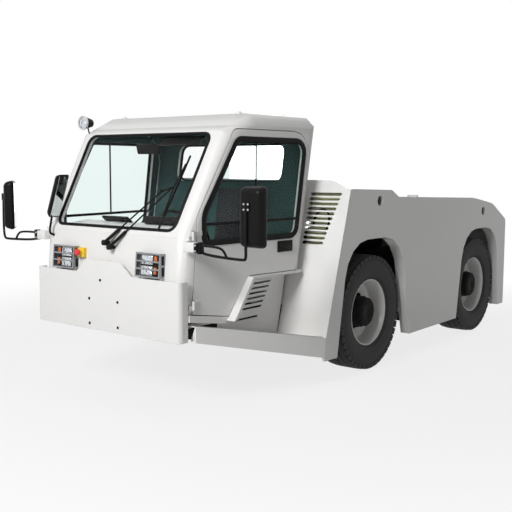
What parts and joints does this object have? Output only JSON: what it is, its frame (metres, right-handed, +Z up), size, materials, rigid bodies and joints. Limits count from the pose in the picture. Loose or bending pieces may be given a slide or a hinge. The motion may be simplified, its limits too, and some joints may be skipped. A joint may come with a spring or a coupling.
{
  "type": "aircraft pushback tractor",
  "caption": "Low heavy aircraft pushback tractor with a forward cab, slotted bulkhead, thick side plates, hinged engine hood, steered wheels at both ends and a rear fork hitch.",
  "frame": {"origin": "centre of the footprint, on the ground", "axes": "+Z up, the cab faces -Y, +X is the driver's left"},
  "size_m": [2.93, 5.1081, 2.208],
  "materials": {
    "white_paint": "satin white paint",
    "black_paint": "matt black chassis paint",
    "cast_metal": "dark cast metal",
    "tyre_rubber": "black tyre rubber",
    "tinted_glass": "dark tinted glass",
    "lamp_glass": "clear lamp lens",
    "guard_steel": "grey bar guard",
    "red_lens": "red lamp lens",
    "stop_yellow": "yellow plastic",
    "black_plastic": "black moulded plastic",
    "cab_trim": "dark slate trim",
    "seat_cloth": "black seat cloth"
  },
  "bodies": {
    "tractor_body": {"chassis_frame": "black_paint", "engine_block": "cast_metal", "body_side_left": "white_paint", "body_side_right": "white_paint", "front_bulkhead": "white_paint", "cowl_cover": "white_paint", "rear_deck": "white_paint", "rear_plate": "white_paint", "rear_lamp_left": "red_lens", "rear_lamp_right": "red_lens", "tow_hitch": "cast_metal", "front_plate": "white_paint", "step_left": "white_paint", "step_right": "white_paint", "cab_base": "white_paint", "cab_front": "white_paint", "cab_frame": "white_paint", "cab_roof": "white_paint", "windscreen": "tinted_glass", "rear_window": "tinted_glass", "dashboard": "cab_trim", "steering_wheel": "black_plastic", "driver_seat": "seat_cloth", "headlamp_left": "lamp_glass", "headlamp_right": "lamp_glass", "lamp_guard_left": "guard_steel", "lamp_guard_right": "guard_steel", "emergency_stop": "stop_yellow", "mirror_left": "black_plastic", "mirror_right": "black_plastic", "work_lamp": "black_plastic", "front_axle": "black_paint", "rear_axle": "black_paint"},
    "front_steer_left": {"front_knuckle_left": "black_paint"},
    "front_roll_left": {"front_wheel_left": "white_paint", "front_tyre_left": "tyre_rubber"},
    "front_steer_right": {"front_knuckle_right": "black_paint"},
    "front_roll_right": {"front_wheel_right": "white_paint", "front_tyre_right": "tyre_rubber"},
    "rear_steer_left": {"rear_knuckle_left": "black_paint"},
    "rear_roll_left": {"rear_wheel_left": "white_paint", "rear_tyre_left": "tyre_rubber"},
    "rear_steer_right": {"rear_knuckle_right": "black_paint"},
    "rear_roll_right": {"rear_wheel_right": "white_paint", "rear_tyre_right": "tyre_rubber"},
    "cab_door_left": {"door_left": "white_paint", "door_glass_left": "tinted_glass"},
    "cab_door_right": {"door_right": "white_paint", "door_glass_right": "tinted_glass"},
    "engine_lid": {"engine_hood": "white_paint"}
  },
  "joints": [
    {"name": "front_steering_left", "type": "hinge", "parent": "tractor_body", "child": "front_steer_left", "pos_m": [0.76, -0.4135, 0.51059], "axis": [0, 0, 1], "range_deg": [-20, 20]},
    {"name": "front_wheel_spin_left", "type": "hinge", "parent": "front_steer_left", "child": "front_roll_left", "pos_m": [0.965, -0.4135, 0.51059], "axis": [1, 0, 0], "continuous": true},
    {"name": "front_steering_right", "type": "hinge", "parent": "tractor_body", "child": "front_steer_right", "pos_m": [-0.76, -0.4135, 0.51059], "axis": [0, 0, 1], "range_deg": [-20, 20]},
    {"name": "front_wheel_spin_right", "type": "hinge", "parent": "front_steer_right", "child": "front_roll_right", "pos_m": [-0.965, -0.4135, 0.51059], "axis": [1, 0, 0], "continuous": true},
    {"name": "rear_steering_left", "type": "hinge", "parent": "tractor_body", "child": "rear_steer_left", "pos_m": [0.76, 1.8365, 0.51059], "axis": [0, 0, 1], "range_deg": [-20, 20]},
    {"name": "rear_wheel_spin_left", "type": "hinge", "parent": "rear_steer_left", "child": "rear_roll_left", "pos_m": [0.965, 1.8365, 0.51059], "axis": [1, 0, 0], "continuous": true},
    {"name": "rear_steering_right", "type": "hinge", "parent": "tractor_body", "child": "rear_steer_right", "pos_m": [-0.76, 1.8365, 0.51059], "axis": [0, 0, 1], "range_deg": [-20, 20]},
    {"name": "rear_wheel_spin_right", "type": "hinge", "parent": "rear_steer_right", "child": "rear_roll_right", "pos_m": [-0.965, 1.8365, 0.51059], "axis": [1, 0, 0], "continuous": true},
    {"name": "door_hinge_left", "type": "hinge", "parent": "tractor_body", "child": "cab_door_left", "pos_m": [0.78804, -2.4035, 1], "axis": [0, 0, -1], "range_deg": [0, 65]},
    {"name": "door_hinge_right", "type": "hinge", "parent": "tractor_body", "child": "cab_door_right", "pos_m": [-0.78804, -2.4035, 1], "axis": [0, 0, 1], "range_deg": [0, 65]},
    {"name": "engine_hood_hinge", "type": "hinge", "parent": "tractor_body", "child": "engine_lid", "pos_m": [0, 1.4365, 1.47636], "axis": [-1, 0, 0], "range_deg": [0, 60]}
  ],
  "couplings": [
    {"joint": "front_steering_right", "follows": "front_steering_left", "ratio": 1},
    {"joint": "rear_steering_left", "follows": "front_steering_left", "ratio": -1},
    {"joint": "rear_steering_right", "follows": "front_steering_left", "ratio": -1}
  ]
}
